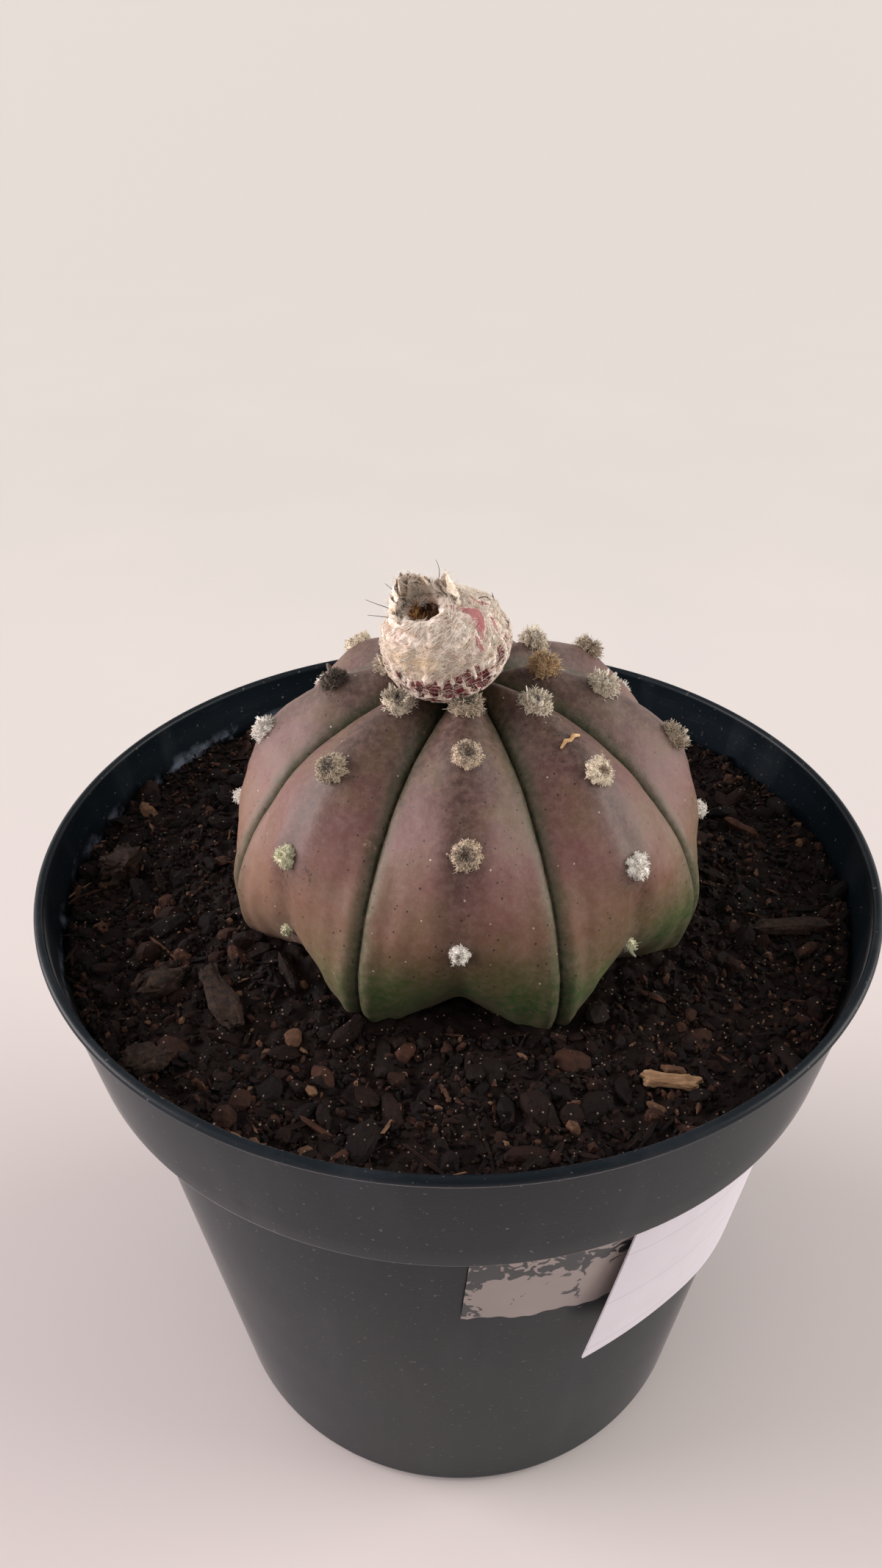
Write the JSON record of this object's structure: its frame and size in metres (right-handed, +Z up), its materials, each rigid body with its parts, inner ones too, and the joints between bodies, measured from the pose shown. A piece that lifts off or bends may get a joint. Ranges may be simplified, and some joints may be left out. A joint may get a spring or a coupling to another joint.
{
  "type": "potted star cactus",
  "caption": "Squat ribbed spineless cactus with woolly tufts and a woolly fruit, growing in a round tapered plastic nursery pot with a collar, tape and a blank label.",
  "frame": {"origin": "centre of the underside of the pot", "axes": "+Z up out of the pot, -Y towards the front, the side with the tape, and the label to the right of it at +X -Y"},
  "size_m": [0.15, 0.15, 0.1842],
  "materials": {
    "pot_plastic": "moulded polypropylene, dark slate grey, semi-matte",
    "potting_mix": "damp peat and bark crumbs",
    "cactus_skin": "waxy skin, mauve brown above, green below and in the grooves",
    "areole_wool": "grey and cream wool",
    "fruit_wool": "cream wool over pink scales",
    "dried_flower": "dry, torn, brown and papery",
    "tape_film": "clear film on dried adhesive, with air marks",
    "label_paper": "uncoated white card",
    "bark": "rough dark bark",
    "split_wood": "bare split wood"
  },
  "bodies": {
    "root": {"areole_rib_1_step_0": "areole_wool", "areole_rib_1_step_2": "areole_wool", "areole_rib_1_step_4": "areole_wool", "areole_rib_1_step_6": "areole_wool", "areole_rib_2_step_1": "areole_wool", "areole_rib_2_step_3": "areole_wool", "areole_rib_2_step_5": "areole_wool", "areole_rib_2_step_7": "areole_wool", "areole_rib_3_step_0": "areole_wool", "areole_rib_3_step_2": "areole_wool", "areole_rib_3_step_4": "areole_wool", "areole_rib_3_step_6": "areole_wool", "areole_rib_4_step_1": "areole_wool", "areole_rib_4_step_3": "areole_wool", "areole_rib_4_step_5": "areole_wool", "areole_rib_4_step_7": "areole_wool", "areole_rib_5_step_0": "areole_wool", "areole_rib_5_step_2": "areole_wool", "areole_rib_5_step_4": "areole_wool", "areole_rib_5_step_6": "areole_wool", "areole_rib_6_step_1": "areole_wool", "areole_rib_6_step_3": "areole_wool", "areole_rib_6_step_5": "areole_wool", "areole_rib_6_step_7": "areole_wool", "areole_rib_7_step_0": "areole_wool", "areole_rib_7_step_2": "areole_wool", "areole_rib_7_step_4": "areole_wool", "areole_rib_7_step_6": "areole_wool", "areole_rib_8_step_1": "areole_wool", "areole_rib_8_step_3": "areole_wool", "areole_rib_8_step_5": "areole_wool", "areole_rib_8_step_7": "areole_wool", "bark_chip_far_left": "bark", "bark_chip_front_left": "bark", "bark_chip_left": "bark", "bark_chip_right": "bark", "bark_chip_round": "bark", "cactus_body": "cactus_skin", "dried_flower_crown": "dried_flower", "fruit": "fruit_wool", "paper_label": "label_paper", "pot": "pot_plastic", "potting_mix": "potting_mix", "tape": "tape_film", "wood_chip": "split_wood"}
  },
  "joints": []
}
